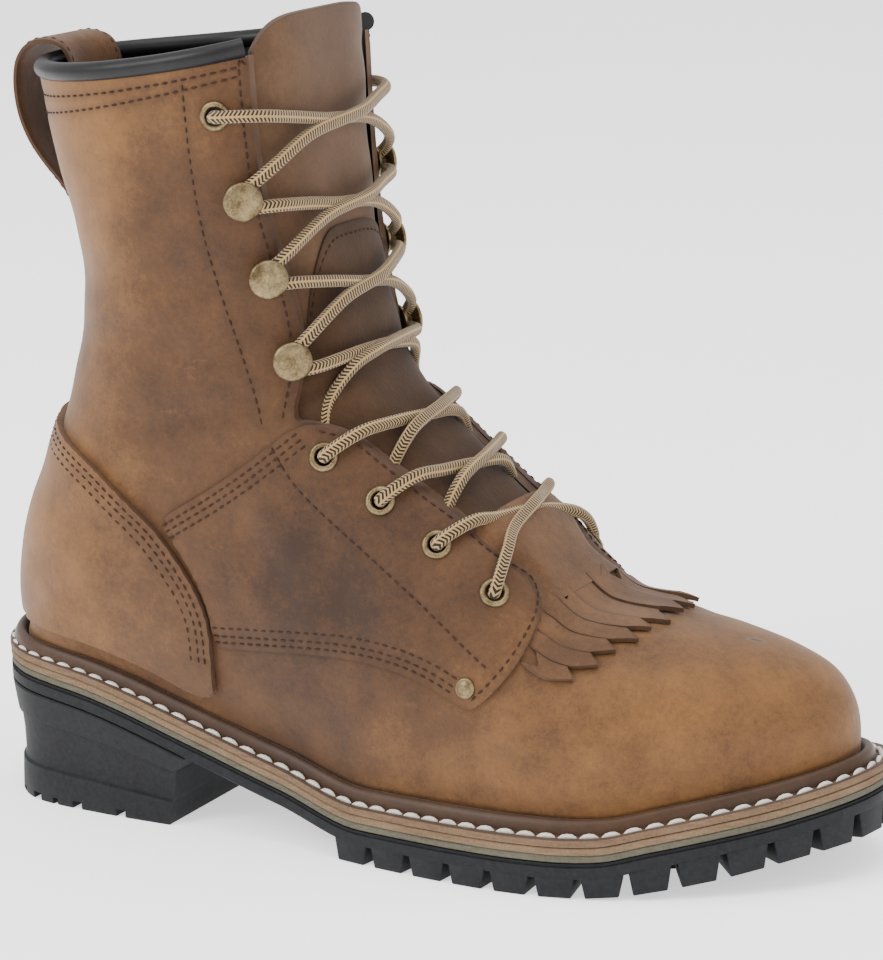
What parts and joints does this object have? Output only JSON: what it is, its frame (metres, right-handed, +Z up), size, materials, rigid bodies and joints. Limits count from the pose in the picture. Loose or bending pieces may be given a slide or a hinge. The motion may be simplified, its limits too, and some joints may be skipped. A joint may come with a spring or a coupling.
{
  "type": "logger boot",
  "caption": "Brown leather lace-up logger boot for the right foot, with a fringed kiltie, speed hooks, a back pull loop and a lugged black rubber sole with a tall heel.",
  "frame": {"origin": "on the floor, in the middle of the sole outline's length and width", "axes": "+X towards the toe, +Y towards the inner side of the foot, +Z up"},
  "size_m": [0.312, 0.1108, 0.2696],
  "materials": {
    "leather_brown": "matte waxed leather",
    "leather_tan": "matte napped leather",
    "leather_black": "smooth, slightly glossy leather",
    "leather_welt": "smooth waxed welt leather",
    "leather_stack": "raw leather edge",
    "foam_grey": "matte grey-green rubber",
    "rubber_black": "matte black rubber",
    "insole_board": "matte board",
    "brass_aged": "aged, softly polished",
    "lace_fabric": "braided cord"
  },
  "bodies": {
    "root": {"midsole": "leather_stack", "midsole_rubber": "foam_grey", "insole": "insole_board", "welt": "leather_welt", "outsole": "rubber_black", "heel": "rubber_black", "vamp": "leather_brown", "upper": "leather_brown", "quarter_outer": "leather_brown", "quarter_inner": "leather_brown", "counter": "leather_brown", "tongue": "leather_tan", "kiltie": "leather_tan", "collar_roll": "leather_black", "pull_strap": "leather_brown", "lace_crossing_1": "lace_fabric", "lace_crossing_2": "lace_fabric", "lace_crossing_3": "lace_fabric", "lace_crossing_4": "lace_fabric", "lace_crossing_5": "lace_fabric", "lace_crossing_6": "lace_fabric", "lace_crossing_7": "lace_fabric", "eyelet_outer_1": "brass_aged", "eyelet_outer_2": "brass_aged", "eyelet_outer_3": "brass_aged", "eyelet_outer_4": "brass_aged", "eyelet_outer_5": "brass_aged", "eyelet_inner_1": "brass_aged", "eyelet_inner_2": "brass_aged", "eyelet_inner_3": "brass_aged", "eyelet_inner_4": "brass_aged", "eyelet_inner_5": "brass_aged", "hook_outer_1": "brass_aged", "hook_outer_2": "brass_aged", "hook_outer_3": "brass_aged", "hook_inner_1": "brass_aged", "hook_inner_2": "brass_aged", "hook_inner_3": "brass_aged", "rivet_outer": "brass_aged", "rivet_inner": "brass_aged"}
  },
  "joints": []
}
